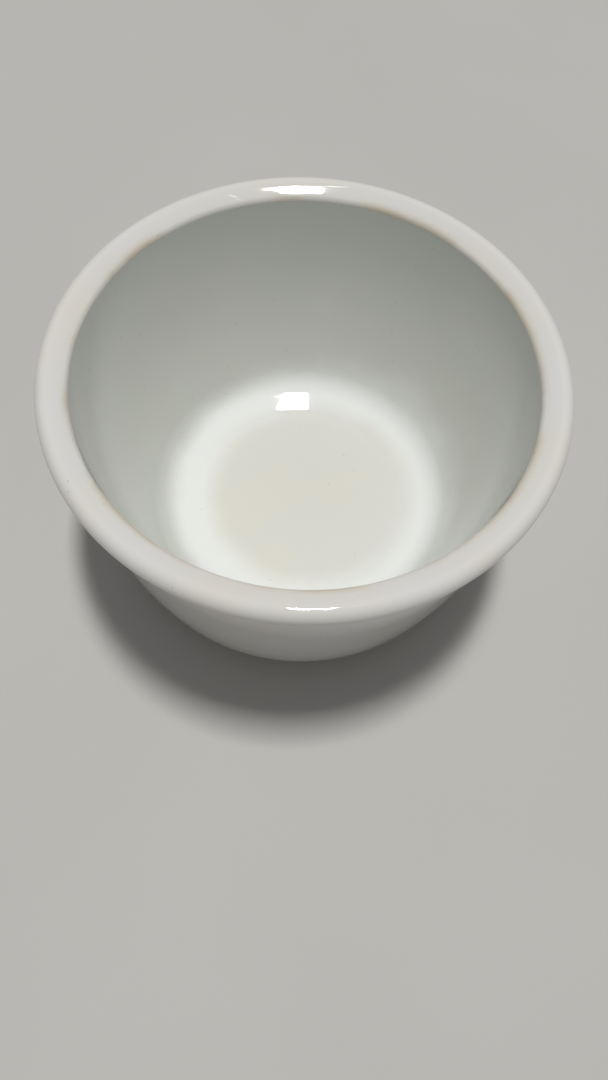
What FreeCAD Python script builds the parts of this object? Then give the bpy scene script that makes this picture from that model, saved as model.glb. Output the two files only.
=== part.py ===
import FreeCAD, Part
import math
import os

# Porcelain crucible, wide form, in millimetres and degrees.
# +Z is up the axis of the cup. The origin is the centre of the flat foot, on the face it stands on.
# Every outline lies in the XZ plane and is turned about Z, as the clay is turned on the wheel.
# The sizes are those of the finished, glazed crucible. The clay lies one glaze thickness inside them.
RIM_DIAMETER = 54.0
HEIGHT = 30.0
FLOOR_THICKNESS = 2.3
GLAZE = 0.15

# Rolled lip: a tight outer edge, a nearly flat crown that falls towards the cup, a tight inner edge.
LIP_OUTER_ROUND = 1.2
LIP_CROWN_ROUND = 10.0
LIP_INNER_ROUND = 0.7
CROWN_OUTER_TILT = 18.0
CROWN_INNER_TILT = 26.0

# Inside: a bowl-like wall that leans in more and more towards the bottom and turns through a fillet into
# a low sloping band. The band meets the slightly dished floor at a soft knee.
INSIDE_TOP_LEAN = 4.0
INSIDE_FOOT_LEAN = 22.0
FILLET_ROUND = 4.0
BAND_OUTER_TILT = 17.6
BAND_BOW = 31.0
BAND_INNER_TILT = 12.8
KNEE_ROUND = 4.0
FLOOR_EDGE_TILT = 1.5

# Outside: a neck under the lip, a long gently bowed wall and a round belly down to the foot.
NECK_RADIUS = 25.45
NECK_ROUND = 0.8
OUTSIDE_TOP_LEAN = 2.0
OUTSIDE_FOOT_LEAN = 11.5
WALL_BOW = 136.0
BELLY_ROUND = 6.5
FOOT_EDGE_ROUND = 0.8
GLAZE_LINE_HEIGHT = 2.0


def polar(centre, radius, degrees):
    """The point of the XZ plane at this distance and bearing from a centre, 0 being +X and 90 being +Z."""
    angle = math.radians(degrees)
    return FreeCAD.Vector(centre.x + radius * math.cos(angle), 0, centre.z + radius * math.sin(angle))


def sine(degrees):
    return math.sin(math.radians(degrees))


def cosine(degrees):
    return math.cos(math.radians(degrees))


class Stretch:
    """One arc of the finished outline. side is +1 on a hump of the wall and -1 in a hollow of it."""

    def __init__(self, centre, radius, side, start, end):
        self.centre = centre
        self.radius = radius
        self.side = side
        self.start = start
        self.end = end

    def point(self, degrees, depth):
        """A point of the arc, this far under the finished surface."""
        return polar(self.centre, self.radius - self.side * depth, degrees)

    def edge(self, depth):
        """The arc, this far under the finished surface."""
        middle = (self.start + self.end) / 2
        ends = [self.point(degrees, depth) for degrees in (self.start, middle, self.end)]
        return Part.Arc(*ends).toShape()


def lip_stretches():
    """The lip, from its inner edge over the crown to its outer edge. Each arc is tangent to the next."""
    outer = FreeCAD.Vector(RIM_DIAMETER / 2 - LIP_OUTER_ROUND, 0, HEIGHT - LIP_OUTER_ROUND)
    crown = polar(outer, LIP_OUTER_ROUND - LIP_CROWN_ROUND, 90 + CROWN_OUTER_TILT)
    inner = polar(crown, LIP_CROWN_ROUND - LIP_INNER_ROUND, 90 + CROWN_INNER_TILT)
    neck_reach = LIP_OUTER_ROUND + NECK_ROUND
    neck_x = NECK_RADIUS + NECK_ROUND * cosine(OUTSIDE_TOP_LEAN) - outer.x
    under = -math.degrees(math.acos(neck_x / neck_reach))
    return [
        Stretch(inner, LIP_INNER_ROUND, 1, 180 - INSIDE_TOP_LEAN, 90 + CROWN_INNER_TILT),
        Stretch(crown, LIP_CROWN_ROUND, 1, 90 + CROWN_INNER_TILT, 90 + CROWN_OUTER_TILT),
        Stretch(outer, LIP_OUTER_ROUND, 1, 90 + CROWN_OUTER_TILT, under),
    ]


def inside_stretches(lip):
    """The inside, from the middle of the floor up to the lip."""
    mouth = lip[0].point(180 - INSIDE_TOP_LEAN, 0)
    lean_cosines = cosine(INSIDE_TOP_LEAN) - cosine(INSIDE_FOOT_LEAN)
    lean_sines = sine(INSIDE_FOOT_LEAN) - sine(INSIDE_TOP_LEAN)
    # The dish of the floor is shallow enough for its half angle to give its sag from its width.
    half_dish = math.tan(math.radians(FLOOR_EDGE_TILT / 2))
    drop = FILLET_ROUND * (cosine(BAND_OUTER_TILT) - sine(INSIDE_FOOT_LEAN))
    drop += BAND_BOW * (cosine(BAND_INNER_TILT) - cosine(BAND_OUTER_TILT))
    drop += KNEE_ROUND * (cosine(FLOOR_EDGE_TILT) - cosine(BAND_INNER_TILT))
    run = FILLET_ROUND * (cosine(INSIDE_FOOT_LEAN) - sine(BAND_OUTER_TILT))
    run += BAND_BOW * (sine(BAND_OUTER_TILT) - sine(BAND_INNER_TILT))
    run += KNEE_ROUND * (sine(BAND_INNER_TILT) - sine(FLOOR_EDGE_TILT))
    # The wall's radius of bow is the one that brings the floor to its height.
    wall_drop = mouth.z - FLOOR_THICKNESS - drop - half_dish * (mouth.x - run)
    bow = wall_drop / (lean_sines - half_dish * lean_cosines)
    wall = polar(mouth, bow, 180 - INSIDE_TOP_LEAN)
    fillet = polar(wall, bow - FILLET_ROUND, -INSIDE_FOOT_LEAN)
    band = polar(fillet, BAND_BOW - FILLET_ROUND, 90 + BAND_OUTER_TILT)
    knee = polar(band, BAND_BOW - KNEE_ROUND, BAND_INNER_TILT - 90)
    dish_radius = KNEE_ROUND + knee.x / sine(FLOOR_EDGE_TILT)
    dish = polar(knee, dish_radius - KNEE_ROUND, 90 + FLOOR_EDGE_TILT)
    return [
        Stretch(dish, dish_radius, -1, -90, FLOOR_EDGE_TILT - 90),
        Stretch(knee, KNEE_ROUND, -1, FLOOR_EDGE_TILT - 90, BAND_INNER_TILT - 90),
        Stretch(band, BAND_BOW, -1, BAND_INNER_TILT - 90, BAND_OUTER_TILT - 90),
        Stretch(fillet, FILLET_ROUND, -1, BAND_OUTER_TILT - 90, -INSIDE_FOOT_LEAN),
        Stretch(wall, bow, -1, -INSIDE_FOOT_LEAN, -INSIDE_TOP_LEAN),
    ]


def outside_stretches(lip):
    """The outside, from under the lip down to the edge of the foot."""
    under = lip[2].end
    neck = polar(lip[2].centre, LIP_OUTER_ROUND + NECK_ROUND, under)
    wall_top = polar(neck, NECK_ROUND, 180 - OUTSIDE_TOP_LEAN)
    wall = polar(wall_top, -WALL_BOW, -OUTSIDE_TOP_LEAN)
    belly = polar(wall, WALL_BOW - BELLY_ROUND, -OUTSIDE_FOOT_LEAN)
    edge_reach = BELLY_ROUND - GLAZE - FOOT_EDGE_ROUND
    edge_bearing = -math.degrees(math.asin((belly.z - FOOT_EDGE_ROUND) / edge_reach))
    foot_edge = polar(belly, edge_reach, edge_bearing)
    return [
        Stretch(neck, NECK_ROUND, -1, 180 + under, 180 - OUTSIDE_TOP_LEAN),
        Stretch(wall, WALL_BOW, 1, -OUTSIDE_TOP_LEAN, -OUTSIDE_FOOT_LEAN),
        Stretch(belly, BELLY_ROUND, 1, -OUTSIDE_FOOT_LEAN, edge_bearing),
        Stretch(foot_edge, FOOT_EDGE_ROUND + GLAZE, 1, edge_bearing, -90),
    ]


def turned(edges):
    """The closed solid that a closed outline sweeps in one turn about Z."""
    wire = Part.Wire(Part.__sortEdges__(edges))
    solid = Part.Face(wire).revolve(FreeCAD.Vector(0, 0, 0), FreeCAD.Vector(0, 0, 1), 360)
    return solid if solid.Volume > 0 else solid.reversed()


def line(start, end):
    return Part.LineSegment(start, end).toShape()


def clay_body(inside, lip, outside):
    """The fired clay cup: floor, wall, lip and bare foot."""
    edges = [stretch.edge(GLAZE) for stretch in inside + lip + outside]
    floor_middle = inside[0].point(-90, GLAZE)
    foot_rim = outside[3].point(-90, GLAZE)
    foot_middle = FreeCAD.Vector(0, 0, 0)
    edges.append(line(foot_rim, foot_middle))
    edges.append(line(foot_middle, floor_middle))
    return turned(edges)


def glaze_coat(stretches, caps):
    """A glass coat over these stretches, closed by a straight cap at each open end."""
    edges = [stretch.edge(depth) for stretch in stretches for depth in (0, GLAZE)]
    edges += [line(stretch.point(degrees, 0), stretch.point(degrees, GLAZE)) for stretch, degrees in caps]
    return turned(edges)


def glaze_line(belly):
    """The part of the belly above the bare foot, which the outside glaze covers."""
    bearing = -math.degrees(math.asin((belly.centre.z - GLAZE_LINE_HEIGHT) / belly.radius))
    return Stretch(belly.centre, belly.radius, belly.side, belly.start, bearing)


lip = lip_stretches()
inside = inside_stretches(lip)
outside = outside_stretches(lip)
covered_belly = glaze_line(outside[2])

nodes = {
    "porcelain_body": clay_body(inside, lip, outside),
    "inside_glaze": glaze_coat(inside, [(inside[0], -90), (inside[-1], inside[-1].end)]),
    "outside_glaze": glaze_coat(
        lip + outside[:2] + [covered_belly],
        [(lip[0], lip[0].start), (covered_belly, covered_belly.end)],
    ),
}

os.makedirs("parts", exist_ok=True)
for name, shape in nodes.items():
    shape.exportStep("parts/" + name + ".step")
    box = shape.optimalBoundingBox()
    print(name, "valid", shape.isValid(), "volume", round(shape.Volume, 1), "mm3")
    print("  radius", round(box.XMax, 3), "height", round(box.ZMin, 3), "to", round(box.ZMax, 3))
print("mouth radius", round(lip[0].point(lip[0].start, 0).x, 3))
print("floor edge radius", round(inside[1].point(inside[1].start, 0).x, 3))
print("foot radius", round(outside[3].centre.x, 3))
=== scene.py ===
import math
import bpy
import numpy as np
from mathutils import Matrix, Vector


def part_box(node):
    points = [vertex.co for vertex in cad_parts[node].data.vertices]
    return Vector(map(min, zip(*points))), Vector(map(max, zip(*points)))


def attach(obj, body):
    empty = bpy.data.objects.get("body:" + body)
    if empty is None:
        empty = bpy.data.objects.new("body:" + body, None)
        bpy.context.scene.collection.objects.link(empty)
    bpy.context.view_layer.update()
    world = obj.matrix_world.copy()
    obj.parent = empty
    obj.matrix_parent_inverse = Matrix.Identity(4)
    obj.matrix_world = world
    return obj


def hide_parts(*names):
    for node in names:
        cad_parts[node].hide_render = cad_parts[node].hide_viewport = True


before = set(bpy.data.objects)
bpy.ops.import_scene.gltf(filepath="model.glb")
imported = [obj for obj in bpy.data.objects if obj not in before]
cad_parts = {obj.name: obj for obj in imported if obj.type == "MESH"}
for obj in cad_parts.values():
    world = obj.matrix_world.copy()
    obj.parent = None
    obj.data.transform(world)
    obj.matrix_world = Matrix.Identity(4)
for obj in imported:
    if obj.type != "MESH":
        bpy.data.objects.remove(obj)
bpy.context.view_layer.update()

# Clay cup. White porcelain clay, pressed and turned to shape on a wheel and fired, so it is slightly out of
# round. Its foot is bare, with a warm flush beside the glaze line. Glass covers the rest.
MM = 0.001
CLAY_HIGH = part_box("porcelain_body")[1]
SKIN_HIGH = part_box("outside_glaze")[1]
GLAZE = SKIN_HIGH.x - CLAY_HIGH.x
FLOOR_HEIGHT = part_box("inside_glaze")[0].z + GLAZE
RIM_RADIUS = SKIN_HIGH.x
RIM_HEIGHT = SKIN_HIGH.z
LIP_OUTER_ROUND = 1.2 * MM
LIP_CROWN_ROUND = 10.0 * MM
LIP_INNER_ROUND = 0.7 * MM
CROWN_OUTER_TILT = 18.0
CROWN_INNER_TILT = 26.0
INSIDE_TOP_LEAN = 4.0
INSIDE_FOOT_LEAN = 22.0
FILLET_ROUND = 4.0 * MM
BAND_OUTER_TILT = 17.6
BAND_BOW = 31.0 * MM
BAND_INNER_TILT = 12.8
KNEE_ROUND = 4.0 * MM
FLOOR_EDGE_TILT = 1.5
NECK_RADIUS = 25.45 * MM
NECK_ROUND = 0.8 * MM
OUTSIDE_TOP_LEAN = 2.0
OUTSIDE_FOOT_LEAN = 11.5
WALL_BOW = 136.0 * MM
BELLY_ROUND = 6.5 * MM
FOOT_EDGE_ROUND = 0.8 * MM
TURNS = 288
STEP = 0.5 * MM
TIGHT_STEP = 6.0
FEWEST_STEPS = 6
FOOT_RINGS = 24
ON_AXIS = 0.01 * MM


def sine(degrees):
    return math.sin(math.radians(degrees))


def cosine(degrees):
    return math.cos(math.radians(degrees))


def polar(centre, radius, degrees):
    """The point of the section at this distance and bearing from a centre."""
    return centre[0] + radius * cosine(degrees), centre[1] + radius * sine(degrees)


def stretch(centre, radius, side, start, end):
    """One arc of the finished section, as points and outward normals. side is -1 in a hollow of the wall."""
    length = abs(math.radians(end - start)) * radius
    count = max(int(length / STEP), int(abs(end - start) / TIGHT_STEP), FEWEST_STEPS) + 1
    bearing = np.radians(np.linspace(start, end, count))
    across = np.stack([np.cos(bearing), np.sin(bearing)], axis=1)
    return np.hstack([np.array(centre) + radius * across, side * across])


lip_outer = (RIM_RADIUS - LIP_OUTER_ROUND, RIM_HEIGHT - LIP_OUTER_ROUND)
lip_crown = polar(lip_outer, LIP_OUTER_ROUND - LIP_CROWN_ROUND, 90 + CROWN_OUTER_TILT)
lip_inner = polar(lip_crown, LIP_CROWN_ROUND - LIP_INNER_ROUND, 90 + CROWN_INNER_TILT)
neck_x = NECK_RADIUS + NECK_ROUND * cosine(OUTSIDE_TOP_LEAN) - lip_outer[0]
under_lip = -math.degrees(math.acos(neck_x / (LIP_OUTER_ROUND + NECK_ROUND)))

mouth = polar(lip_inner, LIP_INNER_ROUND, 180 - INSIDE_TOP_LEAN)
half_dish = math.tan(math.radians(FLOOR_EDGE_TILT / 2))
drop = FILLET_ROUND * (cosine(BAND_OUTER_TILT) - sine(INSIDE_FOOT_LEAN))
drop += BAND_BOW * (cosine(BAND_INNER_TILT) - cosine(BAND_OUTER_TILT))
drop += KNEE_ROUND * (cosine(FLOOR_EDGE_TILT) - cosine(BAND_INNER_TILT))
run = FILLET_ROUND * (cosine(INSIDE_FOOT_LEAN) - sine(BAND_OUTER_TILT))
run += BAND_BOW * (sine(BAND_OUTER_TILT) - sine(BAND_INNER_TILT))
run += KNEE_ROUND * (sine(BAND_INNER_TILT) - sine(FLOOR_EDGE_TILT))
lean_sines = sine(INSIDE_FOOT_LEAN) - sine(INSIDE_TOP_LEAN)
lean_cosines = cosine(INSIDE_TOP_LEAN) - cosine(INSIDE_FOOT_LEAN)
wall_drop = mouth[1] - FLOOR_HEIGHT - drop - half_dish * (mouth[0] - run)
inside_bow = wall_drop / (lean_sines - half_dish * lean_cosines)
inside_wall = polar(mouth, inside_bow, 180 - INSIDE_TOP_LEAN)
fillet = polar(inside_wall, inside_bow - FILLET_ROUND, -INSIDE_FOOT_LEAN)
band = polar(fillet, BAND_BOW - FILLET_ROUND, 90 + BAND_OUTER_TILT)
knee = polar(band, BAND_BOW - KNEE_ROUND, BAND_INNER_TILT - 90)
dish_round = KNEE_ROUND + knee[0] / sine(FLOOR_EDGE_TILT)
dish = polar(knee, dish_round - KNEE_ROUND, 90 + FLOOR_EDGE_TILT)

neck = polar(lip_outer, LIP_OUTER_ROUND + NECK_ROUND, under_lip)
outside_wall = polar(polar(neck, NECK_ROUND, 180 - OUTSIDE_TOP_LEAN), -WALL_BOW, -OUTSIDE_TOP_LEAN)
belly = polar(outside_wall, WALL_BOW - BELLY_ROUND, -OUTSIDE_FOOT_LEAN)
edge_reach = BELLY_ROUND - GLAZE - FOOT_EDGE_ROUND
edge_bearing = -math.degrees(math.asin((belly[1] - FOOT_EDGE_ROUND) / edge_reach))
foot_edge = polar(belly, edge_reach, edge_bearing)

inside_arcs = [
    stretch(dish, dish_round, -1, -90, FLOOR_EDGE_TILT - 90),
    stretch(knee, KNEE_ROUND, -1, FLOOR_EDGE_TILT - 90, BAND_INNER_TILT - 90),
    stretch(band, BAND_BOW, -1, BAND_INNER_TILT - 90, BAND_OUTER_TILT - 90),
    stretch(fillet, FILLET_ROUND, -1, BAND_OUTER_TILT - 90, -INSIDE_FOOT_LEAN),
    stretch(inside_wall, inside_bow, -1, -INSIDE_FOOT_LEAN, -INSIDE_TOP_LEAN),
]
upper_arcs = [
    stretch(lip_inner, LIP_INNER_ROUND, 1, 180 - INSIDE_TOP_LEAN, 90 + CROWN_INNER_TILT),
    stretch(lip_crown, LIP_CROWN_ROUND, 1, 90 + CROWN_INNER_TILT, 90 + CROWN_OUTER_TILT),
    stretch(lip_outer, LIP_OUTER_ROUND, 1, 90 + CROWN_OUTER_TILT, under_lip),
    stretch(neck, NECK_ROUND, -1, 180 + under_lip, 180 - OUTSIDE_TOP_LEAN),
    stretch(outside_wall, WALL_BOW, 1, -OUTSIDE_TOP_LEAN, -OUTSIDE_FOOT_LEAN),
]
belly_arc = stretch(belly, BELLY_ROUND, 1, -OUTSIDE_FOOT_LEAN, edge_bearing)
foot_arc = stretch(foot_edge, FOOT_EDGE_ROUND + GLAZE, 1, edge_bearing, -90)


def joined(arcs):
    """The arcs end to end, with each shared point kept once."""
    return np.vstack([arcs[0]] + [arc[1:] for arc in arcs[1:]])


section = joined(inside_arcs + upper_arcs + [belly_arc, foot_arc])
seam = len(joined(inside_arcs)) - 1
belly_start = len(joined(inside_arcs + upper_arcs)) - 1
belly_end = belly_start + len(belly_arc) - 1

OVAL = 0.06 * MM
OVAL_BEARING = 0.7
RIPPLE = 0.004 * MM
RIPPLE_WAVES = 24
SHORT_WAVE = 2.5 * MM
LONG_WAVE = 7.0 * MM
bearings = np.linspace(0, 2 * math.pi, TURNS, endpoint=False)
chance = np.random.default_rng(7)
wave_ways = chance.normal(0, 1, (RIPPLE_WAVES, 3))
wave_ways /= np.linalg.norm(wave_ways, axis=1, keepdims=True)
wave_turns = wave_ways * 2 * math.pi / chance.uniform(SHORT_WAVE, LONG_WAVE, (RIPPLE_WAVES, 1))
wave_starts = chance.uniform(0, 2 * math.pi, RIPPLE_WAVES)


def fired(points, outward):
    """Points as the kiln leaves them: drawn in a little to an oval towards the rim, and faintly rippled."""
    height = points[..., 2:3] / RIM_HEIGHT
    around = np.arctan2(points[..., 1:2], points[..., 0:1])
    oval = OVAL * height * (0.5 + 0.5 * np.cos(2 * around + OVAL_BEARING))
    radial = points * np.array([1, 1, 0]) / RIM_RADIUS
    waves = np.sin(points @ wave_turns.T + wave_starts).mean(axis=-1, keepdims=True)
    return points - oval * radial + RIPPLE * (waves - 1) * outward


def turned_points(rows, depth):
    """Rows of the section turned about the axis, this far under the finished surface, as rings of points."""
    cos, sin = np.cos(bearings), np.sin(bearings)
    x, z, out_x, out_z = (rows[..., k] * np.ones((len(rows), TURNS)) for k in range(4))
    x, z = x - depth * out_x, z - depth * out_z
    outward = np.stack([out_x * cos, out_x * sin, out_z], axis=2)
    return fired(np.stack([x * cos, x * sin, z], axis=2), outward)


def surface_normals(rings):
    """Normals of turned rings, on the side that is on the left of the way they run."""
    along = np.gradient(rings, axis=0)
    around = np.roll(rings, -1, axis=1) - np.roll(rings, 1, axis=1)
    normals = np.cross(along, around)
    return normals / np.maximum(np.linalg.norm(normals, axis=2, keepdims=True), 1e-12)


def turned_mesh(name, rings, normals, closed):
    """A smooth mesh over rings of points. A ring that lies on the axis becomes one point, a pole."""
    points, point_normals, ids = [], [], []
    for ring, normal in zip(rings, normals):
        pole = np.hypot(ring[:, 0], ring[:, 1]).max() < ON_AXIS
        ids.append(range(len(points), len(points) + (1 if pole else TURNS)))
        points.extend([ring.mean(axis=0)] if pole else ring)
        point_normals.extend([(0, 0, math.copysign(1, normal[:, 2].sum()))] if pole else normal)
    faces = []
    for a, b in zip(ids, ids[1:] + ids[:1] if closed else ids[1:]):
        for i in range(TURNS):
            j = (i + 1) % TURNS
            if len(a) == 1:
                faces.append((a[0], b[i], b[j]))
            elif len(b) == 1:
                faces.append((a[i], b[0], a[j]))
            else:
                faces.append((a[i], b[i], b[j], a[j]))
    mesh = bpy.data.meshes.new(name)
    mesh.from_pydata([tuple(point) for point in points], [], faces)
    mesh.shade_smooth()
    mesh.normals_split_custom_set_from_vertices([tuple(normal) for normal in point_normals])
    piece = bpy.data.objects.new(name, mesh)
    bpy.context.scene.collection.objects.link(piece)
    return piece


rows = section[:, None, :]
clay_skin = turned_points(rows, GLAZE)
clay_normals = surface_normals(clay_skin)
foot_radii = np.linspace(section[-1, 0], 0, FOOT_RINGS)[1:]
foot_rows = np.array([[radius, section[-1, 1], 0, -1] for radius in foot_radii])[:, None, :]
foot_skin = turned_points(foot_rows, GLAZE)
foot_normals = np.zeros_like(foot_skin) + np.array([0, 0, -1.0])
clay_cup = turned_mesh(
    "clay_cup",
    np.concatenate([clay_skin, foot_skin]),
    np.concatenate([clay_normals, foot_normals]),
    closed=False,
)
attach(clay_cup, "root")
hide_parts("porcelain_body")

NUMBER, COLOUR = "NodeSocketFloat", "NodeSocketColor"


def feed(tree, node, inputs):
    """Give a node its inputs: a socket of another node is linked, and anything else is set as a value."""
    for socket, source in inputs.items():
        if isinstance(source, bpy.types.NodeSocket):
            tree.links.new(source, node.inputs[socket])
        else:
            node.inputs[socket].default_value = source
    return node


def step(tree, kind, inputs, **settings):
    """One more node of a material, with its settings and its inputs."""
    node = tree.nodes.new("ShaderNode" + kind)
    for setting, value in settings.items():
        setattr(node, setting, value)
    return feed(tree, node, inputs)


def math_of(tree, operation, first, second):
    """One sum, product or other piece of arithmetic on two values."""
    return step(tree, "Math", {0: first, 1: second}, operation=operation).outputs[0]


def blended(tree, share, first, second):
    """The first colour, with this share of the second mixed into it."""
    return step(tree, "Mix", {0: share, 6: first, 7: second}, data_type="RGBA").outputs[2]


def ranged(tree, value, low, high, to_low=0.0, to_high=1.0):
    """A soft ramp from to_low to to_high, as the value goes from low to high."""
    inputs = {"Value": value, "From Min": low, "From Max": high, "To Min": to_low, "To Max": to_high}
    return step(tree, "MapRange", inputs, interpolation_type="SMOOTHSTEP").outputs[0]


def here(tree):
    """The point of the surface, in metres from the middle of the foot."""
    return step(tree, "TexCoord", {}).outputs["Object"]


def effect(name, inputs, outputs):
    """An empty shader node group with these sockets, and its input and output nodes."""
    group = bpy.data.node_groups.new(name, "ShaderNodeTree")
    for label, (kind, value) in inputs.items():
        socket = group.interface.new_socket(label, in_out="INPUT", socket_type=kind)
        socket.default_value = value
    for label, kind in outputs.items():
        group.interface.new_socket(label, in_out="OUTPUT", socket_type=kind)
    return group, group.nodes.new("NodeGroupInput").outputs, group.nodes.new("NodeGroupOutput")


def placed(tree, group, inputs):
    """An effect placed in a material with the values that the material gives it."""
    node = tree.nodes.new("ShaderNodeGroup")
    node.node_tree = group
    return feed(tree, node, inputs).outputs


# Kiln clouds: soft patches where the clay or the glaze came out a shade warmer or thicker.
kiln_clouds, given, result = effect(
    "kiln_clouds",
    {"Color": (COLOUR, (1, 1, 1, 1)), "Cloud Color": (COLOUR, (1, 1, 1, 1)), "Cloud Size": (NUMBER, 0.008)},
    {"Color": COLOUR},
)
cloud_scale = math_of(kiln_clouds, "DIVIDE", 1.0, given["Cloud Size"])
cloud_place = here(kiln_clouds)
cloud_inputs = {"Vector": cloud_place, "Scale": cloud_scale, "Detail": 3.0}
cloud = step(kiln_clouds, "TexNoise", cloud_inputs).outputs[0]
cloud_share = ranged(kiln_clouds, cloud, 0.36, 0.66)
feed(kiln_clouds, result, {"Color": blended(kiln_clouds, cloud_share, given["Color"], given["Cloud Color"])})

# Iron specks: single dark grains of the clay that burn through to the surface here and there.
SPECK_CORE = 0.4
SPECKS_LEFT_OUT = 0.8
iron_specks, given, result = effect(
    "iron_specks",
    {
        "Color": (COLOUR, (1, 1, 1, 1)),
        "Speck Color": (COLOUR, (0.3, 0.22, 0.15, 1)),
        "Speck Size": (NUMBER, 0.0001),
        "Spacing": (NUMBER, 0.0016),
        "Strength": (NUMBER, 0.5),
    },
    {"Color": COLOUR, "Speck": NUMBER},
)
speck_scale = math_of(iron_specks, "DIVIDE", 1.0, given["Spacing"])
grains = step(iron_specks, "TexVoronoi", {"Vector": here(iron_specks), "Scale": speck_scale}).outputs
speck_reach = math_of(iron_specks, "DIVIDE", given["Speck Size"], given["Spacing"])
speck_core = math_of(iron_specks, "MULTIPLY", speck_reach, SPECK_CORE)
grain = ranged(iron_specks, grains["Distance"], speck_core, speck_reach, 1.0, 0.0)
pick = step(iron_specks, "SeparateColor", {"Color": grains["Color"]}).outputs[0]
speck = math_of(iron_specks, "MULTIPLY", grain, math_of(iron_specks, "GREATER_THAN", pick, SPECKS_LEFT_OUT))
speck_share = math_of(iron_specks, "MULTIPLY", speck, given["Strength"])
speckled = blended(iron_specks, speck_share, given["Color"], given["Speck Color"])
feed(iron_specks, result, {"Color": speckled, "Speck": speck})

# Turning lines: fine level grooves that the turner's rib leaves all round, which the glaze only half fills.
turning_lines, given, result = effect(
    "turning_lines",
    {"Line Spacing": (NUMBER, 0.0006), "Depth": (NUMBER, 0.000002)},
    {"Height": NUMBER},
)
place = here(turning_lines)
flat_place = step(turning_lines, "VectorMath", {0: place, 1: (1, 1, 0)}, operation="MULTIPLY").outputs[0]
out_from_axis = step(turning_lines, "VectorMath", {0: flat_place}, operation="LENGTH").outputs["Value"]
level = step(turning_lines, "SeparateXYZ", {"Vector": place}).outputs["Z"]
up_the_wall = math_of(turning_lines, "ADD", level, out_from_axis)
line_count = math_of(turning_lines, "DIVIDE", up_the_wall, given["Line Spacing"])
line_place = step(turning_lines, "CombineXYZ", {"X": line_count})
drift = step(turning_lines, "VectorMath", {0: place, "Scale": 60.0}, operation="SCALE").outputs[0]
drifting = {0: line_place.outputs[0], 1: drift}
lines_at = step(turning_lines, "VectorMath", drifting, operation="ADD").outputs[0]
lines = step(turning_lines, "TexNoise", {"Vector": lines_at, "Scale": 1.0, "Detail": 2.0}).outputs[0]
feed(turning_lines, result, {"Height": math_of(turning_lines, "MULTIPLY", lines, given["Depth"])})

CLAY_WHITE = (0.80, 0.77, 0.70, 1)
CLAY_CREAM = (0.775, 0.735, 0.655, 1)
FLUSH = (0.66, 0.52, 0.38, 1)
bare_clay = bpy.data.materials.new("bare_clay")
bare_clay.use_nodes = True
tree = bare_clay.node_tree
clouds = placed(tree, kiln_clouds, {"Color": CLAY_WHITE, "Cloud Color": CLAY_CREAM, "Cloud Size": 5 * MM})
level = step(tree, "SeparateXYZ", {"Vector": here(tree)}).outputs["Z"]
flush_share = ranged(tree, level, 0.9 * MM, 2.4 * MM, 0.0, 0.45)
flushed = blended(tree, flush_share, clouds["Color"], FLUSH)
specks = placed(tree, iron_specks, {"Color": flushed, "Speck Size": 0.16 * MM, "Spacing": 1.1 * MM})
body_grain = step(tree, "TexNoise", {"Vector": here(tree), "Scale": 3500.0, "Detail": 3.0}).outputs[0]
grain_height = math_of(tree, "MULTIPLY", body_grain, 0.02 * MM)
ribs = placed(tree, turning_lines, {"Line Spacing": 0.5 * MM, "Depth": 0.03 * MM})
clay_height = math_of(tree, "ADD", grain_height, ribs["Height"])
clay_bump = step(tree, "Bump", {"Height": clay_height, "Distance": 1.0, "Strength": 1.0}).outputs[0]
clay_rough = ranged(tree, body_grain, 0.3, 0.7, 0.58, 0.78)
clay_shader = tree.nodes["Principled BSDF"]
feed(tree, clay_shader, {"Base Color": specks["Color"], "Roughness": clay_rough, "Normal": clay_bump})
clay_shader.inputs["IOR"].default_value = 1.5
clay_cup.data.materials.append(bare_clay)

# Inside glaze. Clear feldspar glass, poured in, swilled round and melted onto the clay. It is faintly
# green-grey on the wall and cream on the floor, and the wall is also painted darker than the rim as painted
# shade of the steep wall. The white band between them is not a colour of the glass: it stands in for the
# light that the glossy wall throws round the floor.
skin = turned_points(rows, 0)
skin_normals = surface_normals(skin)
inside_coat = turned_mesh(
    "inside_coat",
    np.concatenate([skin[:seam + 1], clay_skin[seam::-1]]),
    np.concatenate([skin_normals[:seam + 1], -clay_normals[seam::-1]]),
    closed=False,
)
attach(inside_coat, "root")
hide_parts("inside_glaze")

# Orange peel: the slow ripple that runny glass sets with, and the pinholes that bubbles leave in it.
PINHOLES_LEFT_OUT = 0.7
orange_peel, given, result = effect(
    "orange_peel",
    {"Ripple Size": (NUMBER, 0.002), "Ripple Depth": (NUMBER, 0.00001), "Pit Depth": (NUMBER, 0.00001)},
    {"Height": NUMBER, "Pit": NUMBER},
)
peel_scale = math_of(orange_peel, "DIVIDE", 1.0, given["Ripple Size"])
peel_place = here(orange_peel)
peel = step(orange_peel, "TexNoise", {"Vector": peel_place, "Scale": peel_scale, "Detail": 1.5}).outputs[0]
bubbles = step(orange_peel, "TexVoronoi", {"Vector": peel_place, "Scale": 420.0}).outputs
pick = step(orange_peel, "SeparateColor", {"Color": bubbles["Color"]}).outputs[1]
hollow = ranged(orange_peel, bubbles["Distance"], 0.02, 0.07, 1.0, 0.0)
pit = math_of(orange_peel, "MULTIPLY", hollow, math_of(orange_peel, "GREATER_THAN", pick, PINHOLES_LEFT_OUT))
peel_height = math_of(orange_peel, "MULTIPLY", peel, given["Ripple Depth"])
pit_height = math_of(orange_peel, "MULTIPLY", pit, given["Pit Depth"])
peel_height = math_of(orange_peel, "SUBTRACT", peel_height, pit_height)
feed(orange_peel, result, {"Height": peel_height, "Pit": pit})

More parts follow.
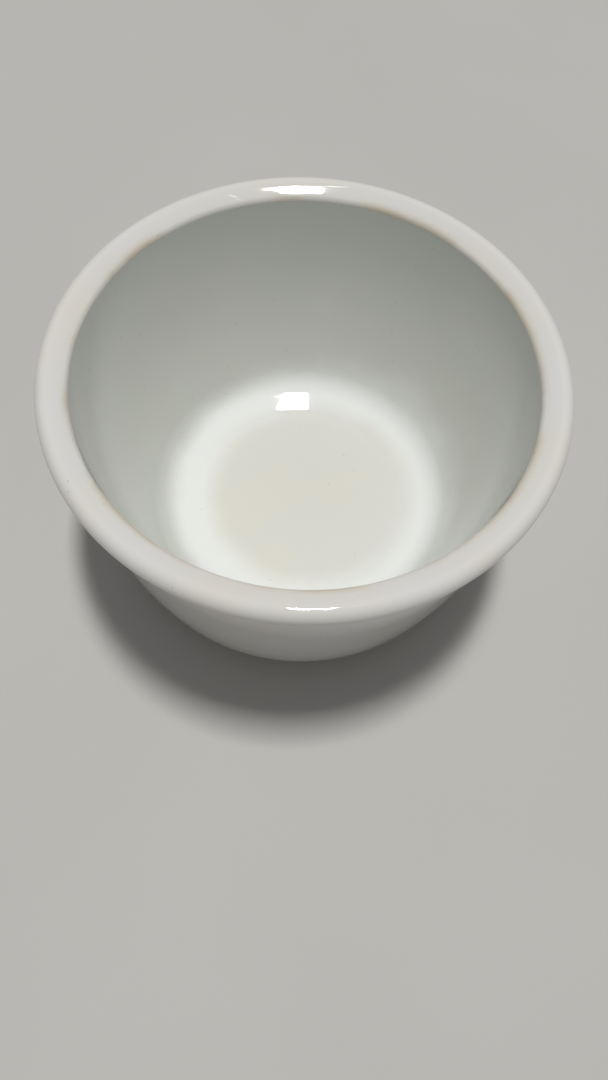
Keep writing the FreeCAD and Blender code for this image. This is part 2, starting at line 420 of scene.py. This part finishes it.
# Handling: where fingers and tongs have dulled the gloss, in patches and in hairline scratches.
handling, given, result = effect(
    "handling",
    {"Clean": (NUMBER, 0.05), "Dulled": (NUMBER, 0.16), "Scratched": (NUMBER, 0.3)},
    {"Roughness": NUMBER},
)
smear_place = here(handling)
smears = step(handling, "TexNoise", {"Vector": smear_place, "Scale": 150.0, "Detail": 5.0}).outputs[0]
smear_share = ranged(handling, smears, 0.48, 0.72)
span = math_of(handling, "SUBTRACT", given["Dulled"], given["Clean"])
smeared = math_of(handling, "ADD", given["Clean"], math_of(handling, "MULTIPLY", smear_share, span))
aslant = {"Vector": smear_place, "Scale": (90, 2600, 2600), "Rotation": (0.4, 0.7, 1.1)}
long_way = step(handling, "Mapping", aslant)
hairs = step(handling, "TexNoise", {"Vector": long_way.outputs[0], "Scale": 1.0, "Detail": 1.0}).outputs[0]
hair = ranged(handling, hairs, 0.70, 0.76)
rest = math_of(handling, "SUBTRACT", given["Scratched"], smeared)
scratch = math_of(handling, "MULTIPLY", hair, rest)
feed(handling, result, {"Roughness": math_of(handling, "ADD", smeared, scratch)})


PIT_BROWN = (0.42, 0.37, 0.30, 1)
PIT_STRENGTH = 0.35


def glaze_material(name, colour, wear, peel_depth, line_depth):
    """Clear glass over white clay. colour is a function that makes its colour in the given tree."""
    glass = bpy.data.materials.new(name)
    glass.use_nodes = True
    tree = glass.node_tree
    peel = placed(tree, orange_peel, {"Ripple Size": 1.8 * MM, "Ripple Depth": peel_depth})
    lines = placed(tree, turning_lines, {"Line Spacing": 0.7 * MM, "Depth": line_depth})
    height = math_of(tree, "ADD", peel["Height"], lines["Height"])
    bump = step(tree, "Bump", {"Height": height, "Distance": 1.0, "Strength": 1.0}).outputs[0]
    rough = placed(tree, handling, wear)["Roughness"]
    grains = {"Color": colour(tree), "Speck Size": 0.12 * MM, "Spacing": 1.5 * MM, "Strength": 0.35}
    specks = placed(tree, iron_specks, grains)
    pit_share = math_of(tree, "MULTIPLY", peel["Pit"], PIT_STRENGTH)
    pitted = blended(tree, pit_share, specks["Color"], PIT_BROWN)
    shader = tree.nodes["Principled BSDF"]
    feed(tree, shader, {"Base Color": pitted, "Roughness": rough, "Normal": bump, "IOR": 1.5})
    return glass


THROWN_LIGHT = (0.885, 0.905, 0.89, 1)
# The wall colours are partly the glass's faint green-grey and partly painted shade, about ten percent darker
# than the rim.
SHADED_WALL_GREEN_GREY = (0.69, 0.71, 0.665, 1)
SHADED_WALL_GREY = (0.68, 0.69, 0.665, 1)
FLOOR_CREAM = (0.765, 0.75, 0.68, 1)
FLOOR_GREY = (0.75, 0.745, 0.715, 1)
BAND_SHIFT = (-1.35 * MM, -0.65 * MM, 0)
BAND_REACH = 15.4 * MM
BAND_FADE_IN = 4.8 * MM
BAND_FLAT = 0.7 * MM
BAND_FADE_OUT = 3.6 * MM


def inside_colour(tree):
    """The colour by zone: cream floor, a white band of painted light, and a green-grey wall darkened with
    painted shade, with edges that wander.
    """
    place = here(tree)
    shifted = step(tree, "VectorMath", {0: place, 1: BAND_SHIFT}, operation="ADD").outputs[0]
    flat_place = step(tree, "VectorMath", {0: shifted, 1: (1, 1, 0)}, operation="MULTIPLY").outputs[0]
    reach = step(tree, "VectorMath", {0: flat_place}, operation="LENGTH").outputs["Value"]
    wander = step(tree, "TexNoise", {"Vector": place, "Scale": 190.0, "Detail": 3.0}).outputs[0]
    reach = math_of(tree, "ADD", reach, ranged(tree, wander, 0.25, 0.75, -0.3 * MM, 0.3 * MM))
    stains = {"Color": FLOOR_CREAM, "Cloud Color": FLOOR_GREY, "Cloud Size": 9 * MM}
    floor = placed(tree, kiln_clouds, stains)
    tints = {"Color": SHADED_WALL_GREEN_GREY, "Cloud Color": SHADED_WALL_GREY, "Cloud Size": 14 * MM}
    wall = placed(tree, kiln_clouds, tints)
    band_share = ranged(tree, reach, BAND_REACH - BAND_FADE_IN, BAND_REACH)
    wall_share = ranged(tree, reach, BAND_REACH + BAND_FLAT, BAND_REACH + BAND_FADE_OUT)
    lower = blended(tree, band_share, floor["Color"], THROWN_LIGHT)
    return blended(tree, wall_share, lower, wall["Color"])


stirred = {"Clean": 0.035, "Dulled": 0.09, "Scratched": 0.22}
inside_glass = glaze_material("inside_glass", inside_colour, stirred, 0.002 * MM, 0.0003 * MM)
inside_coat.data.materials.append(inside_glass)

# Outside glaze. The same glass, dipped rim first, so it wraps over the lip and runs down to a wandering line
# above the foot, where it swells into a thin bead and thins out to nothing on the clay.
GLAZE_LINE_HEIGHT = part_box("outside_glaze")[0].z
LINE_WANDER = 0.35 * MM
LINE_MARGIN = 0.3 * MM
BEAD = 0.05 * MM
BEAD_FROM_EDGE = 0.7 * MM
BEAD_WIDTH = 0.55 * BEAD_FROM_EDGE
EDGE_ROUND = 0.3 * MM
EVEN_SHARE = 0.8
EVEN_RINGS = 30
EDGE_RINGS = 26
gaps = np.linalg.norm(np.diff(section[:, :2], axis=0), axis=1)
way_along = np.concatenate([[0], np.cumsum(gaps)])
going_up = slice(belly_end, belly_start, -1)
line_along = np.interp(GLAZE_LINE_HEIGHT, section[going_up, 1], way_along[going_up])
wander = sum(np.sin(k * bearings + 1.7 * k * k) / k ** 0.7 for k in (2, 3, 5, 8, 13, 21))
line_ends = line_along - LINE_MARGIN + LINE_WANDER * wander / 2.2
even_part = np.linspace(0, EVEN_SHARE, EVEN_RINGS)
edge_part = EVEN_SHARE + (1 - EVEN_SHARE) * np.sin(np.linspace(0, math.pi / 2, EDGE_RINGS)[1:])
shares = np.concatenate([even_part, edge_part])[:, None]
belly_along = way_along[belly_start] + shares * (line_ends - way_along[belly_start])
belly_rows = np.stack([np.interp(belly_along, way_along, section[:, k]) for k in range(4)], axis=2)
to_edge = line_ends - belly_along
round_share = np.clip(1 - to_edge / EDGE_ROUND, 0, 1)
thinning = GLAZE * (1 - np.sqrt(1 - round_share ** 2))
bead = BEAD * np.exp(-((to_edge - BEAD_FROM_EDGE) / BEAD_WIDTH) ** 2)
belly_skin = turned_points(belly_rows, thinning - bead)
belly_under = turned_points(belly_rows, GLAZE)
outer_rings = np.concatenate([skin[seam - 1:belly_start], belly_skin])
outer_normals = surface_normals(outer_rings)[1:]
under_rings = np.concatenate([clay_skin[seam:belly_start], belly_under])
under_normals = -surface_normals(under_rings)
outside_coat = turned_mesh(
    "outside_coat",
    np.concatenate([outer_rings[1:], under_rings[::-1]]),
    np.concatenate([outer_normals, under_normals[::-1]]),
    closed=True,
)
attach(outside_coat, "root")
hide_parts("outside_glaze")

RIM_WARM = (0.80, 0.775, 0.725, 1)
RIM_COOL = (0.79, 0.785, 0.765, 1)
LIP_STAIN = (0.60, 0.50, 0.34, 1)
STAIN_REACH = 0.9 * MM


def outside_colour(tree):
    """Warm white, with a patchy brown stain that use has left along the inner edge of the lip."""
    place = here(tree)
    tints = {"Color": RIM_WARM, "Cloud Color": RIM_COOL, "Cloud Size": 11 * MM}
    white = placed(tree, kiln_clouds, tints)["Color"]
    flat_place = step(tree, "VectorMath", {0: place, 1: (1, 1, 0)}, operation="MULTIPLY").outputs[0]
    reach = step(tree, "VectorMath", {0: flat_place}, operation="LENGTH").outputs["Value"]
    level = step(tree, "SeparateXYZ", {"Vector": place}).outputs["Z"]
    on_lip = math_of(tree, "GREATER_THAN", level, 0.9 * RIM_HEIGHT)
    by_edge = ranged(tree, reach, mouth[0], mouth[0] + STAIN_REACH, 1.0, 0.0)
    patches = step(tree, "TexNoise", {"Vector": place, "Scale": 110.0, "Detail": 4.0}).outputs[0]
    patch = ranged(tree, patches, 0.38, 0.62, 0.05, 0.6)
    share = math_of(tree, "MULTIPLY", on_lip, math_of(tree, "MULTIPLY", by_edge, patch))
    return blended(tree, share, white, LIP_STAIN)


handled = {"Clean": 0.03, "Dulled": 0.08, "Scratched": 0.22}
outside_glass = glaze_material("outside_glass", outside_colour, handled, 0.004 * MM, 0.0006 * MM)
outside_coat.data.materials.append(outside_glass)

# Bench top. A plain pale sheet with a matt face, laid flat under the foot.
# It is wide enough to reach the edges of every view from above.
BENCH_REACH = 1.5
BENCH_PALE = (0.58, 0.57, 0.55, 1)
BENCH_SHADE = (0.56, 0.55, 0.53, 1)
corners = [(-1, -1), (1, -1), (1, 1), (-1, 1)]
bench_mesh = bpy.data.meshes.new("bench_top")
bench_mesh.from_pydata([(x * BENCH_REACH, y * BENCH_REACH, 0) for x, y in corners], [], [(0, 1, 2, 3)])
bench_top = bpy.data.objects.new("bench_top", bench_mesh)
bpy.context.scene.collection.objects.link(bench_top)
laminate = bpy.data.materials.new("pale_laminate")
laminate.use_nodes = True
tree = laminate.node_tree
sheet = placed(tree, kiln_clouds, {"Color": BENCH_PALE, "Cloud Color": BENCH_SHADE, "Cloud Size": 60 * MM})
feed(tree, tree.nodes["Principled BSDF"], {"Base Color": sheet["Color"], "Roughness": 0.65})
bench_mesh.materials.append(laminate)

# Studio light. One soft box nearly overhead, leaning a little to the back and to one side, with a dim even
# room around it.
BOX_AWAY = 1.2
BOX_WIDTH = 0.11
BOX_LENGTH = 0.19
BOX_WATTS = 9.0
ROOM_LIGHT = 0.2
box_way = Vector((0.038, 0.075, 0.994)).normalized()
soft_box = bpy.data.lights.new("soft_box", "AREA")
soft_box.shape = "RECTANGLE"
soft_box.size = BOX_WIDTH
soft_box.size_y = BOX_LENGTH
soft_box.energy = BOX_WATTS
soft_box.color = (1.0, 0.99, 0.965)
lamp = bpy.data.objects.new("soft_box", soft_box)
lamp.location = box_way * BOX_AWAY
box_aside = Vector((0, 1, 0)).cross(box_way).normalized()
box_turn = Matrix((box_aside, box_way.cross(box_aside), box_way)).transposed()
lamp.rotation_euler = box_turn.to_euler()
bpy.context.scene.collection.objects.link(lamp)
room = bpy.data.worlds.new("room")
room.use_nodes = True
room.node_tree.nodes["Background"].inputs["Color"].default_value = (0.97, 0.98, 1.0, 1)
room.node_tree.nodes["Background"].inputs["Strength"].default_value = ROOM_LIGHT
bpy.context.scene.world = room
bpy.context.scene.view_settings.view_transform = "Standard"

# Camera. Held close over the near edge of the cup and tilted down into it, with a wide lens.
# It is turned a little to the right, nodded down and rolled, each from the line to the middle of the rim.
LENS = 27.03
EYE_AWAY = 3.106 * RIM_RADIUS
EYE_ABOVE = 52.93
EYE_TURN = math.radians(0.53)
EYE_NOD = math.radians(-11.56)
EYE_ROLL = math.radians(3.55)
LOOK_HEIGHT = RIM_HEIGHT - 1.57 * MM
eye = Vector((0, -cosine(EYE_ABOVE), sine(EYE_ABOVE))) * EYE_AWAY
ahead = -eye.normalized()
aside = ahead.cross(Vector((0, 0, 1))).normalized()
upward = aside.cross(ahead)
ahead = ahead * math.cos(EYE_TURN) + aside * math.sin(EYE_TURN)
aside = ahead.cross(upward).normalized()
ahead = ahead * math.cos(EYE_NOD) + upward * math.sin(EYE_NOD)
upward = aside.cross(ahead)
aside = aside * math.cos(EYE_ROLL) + upward * math.sin(EYE_ROLL)
upward = aside.cross(ahead)
lens = bpy.data.cameras.new("camera")
lens.sensor_fit = "VERTICAL"
lens.sensor_height = 36
lens.lens = LENS
lens.clip_start = 2 * MM
camera = bpy.data.objects.new("camera", lens)
turn = Matrix((aside, upward, -ahead)).transposed().to_4x4()
camera.matrix_world = Matrix.Translation(eye + Vector((0, 0, LOOK_HEIGHT))) @ turn
bpy.context.scene.collection.objects.link(camera)
bpy.context.scene.camera = camera
